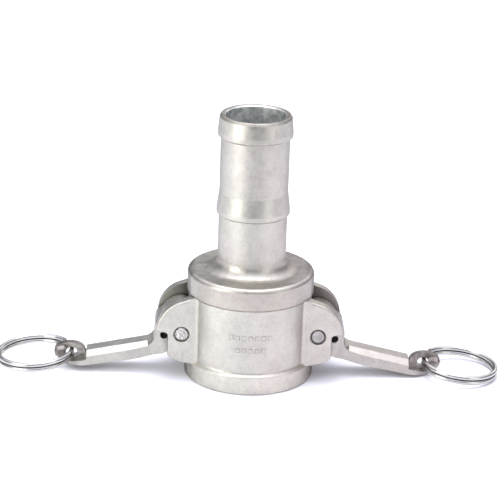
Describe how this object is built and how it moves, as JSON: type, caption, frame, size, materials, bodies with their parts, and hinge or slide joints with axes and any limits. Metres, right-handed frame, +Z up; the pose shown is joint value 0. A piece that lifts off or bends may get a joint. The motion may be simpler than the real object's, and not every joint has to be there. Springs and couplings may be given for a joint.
{
  "type": "camlock coupling",
  "caption": "Cast camlock hose coupler with an open socket below, a barbed hose shank above, a flat gasket inside, and two hinged cam arms each carrying a split finger ring.",
  "frame": {"origin": "centre of the mouth face, on the floor the coupling stands on and on the bore axis, midway between the two finger rings", "axes": "+Z up the bore axis from the socket mouth to the hose end; +X towards the right-hand cam arm; the pivot pins run along Y and -Y is the front"},
  "size_m": [0.1819, 0.0464, 0.0966],
  "materials": {
    "cast_body": "bead-blasted investment-cast stainless steel, satin",
    "cast_arm": "bead-blasted investment-cast stainless steel, satin",
    "pin": "drawn stainless bar, cut ends, one end serrated",
    "ring_wire": "bright drawn stainless spring wire",
    "gasket": "matte moulded nitrile rubber"
  },
  "bodies": {
    "coupling": {"body": "cast_body", "gasket": "gasket", "pivot_pin_left": "pin", "pivot_pin_right": "pin"},
    "arm_left": {"cam_arm_left": "cast_arm"},
    "arm_right": {"cam_arm_right": "cast_arm"},
    "ring_left": {"finger_ring_left": "ring_wire"},
    "ring_right": {"finger_ring_right": "ring_wire"}
  },
  "joints": [
    {"name": "arm_left_pivot", "type": "hinge", "parent": "coupling", "child": "arm_left", "pos_m": [-0.02425, 0, 0.0179], "axis": [0, 1, 0], "range_deg": [0, 101]},
    {"name": "arm_right_pivot", "type": "hinge", "parent": "coupling", "child": "arm_right", "pos_m": [0.02425, 0, 0.0179], "axis": [0, -1, 0], "range_deg": [0, 103]},
    {"name": "ring_left_swing", "type": "hinge", "parent": "arm_left", "child": "ring_left", "pos_m": [-0.06391, 0, 0.00559], "axis": [0, 1, 0], "range_deg": [-160, 165]},
    {"name": "ring_right_swing", "type": "hinge", "parent": "arm_right", "child": "ring_right", "pos_m": [0.06352, 0, 0.00442], "axis": [0, -1, 0], "range_deg": [-160, 165]}
  ]
}
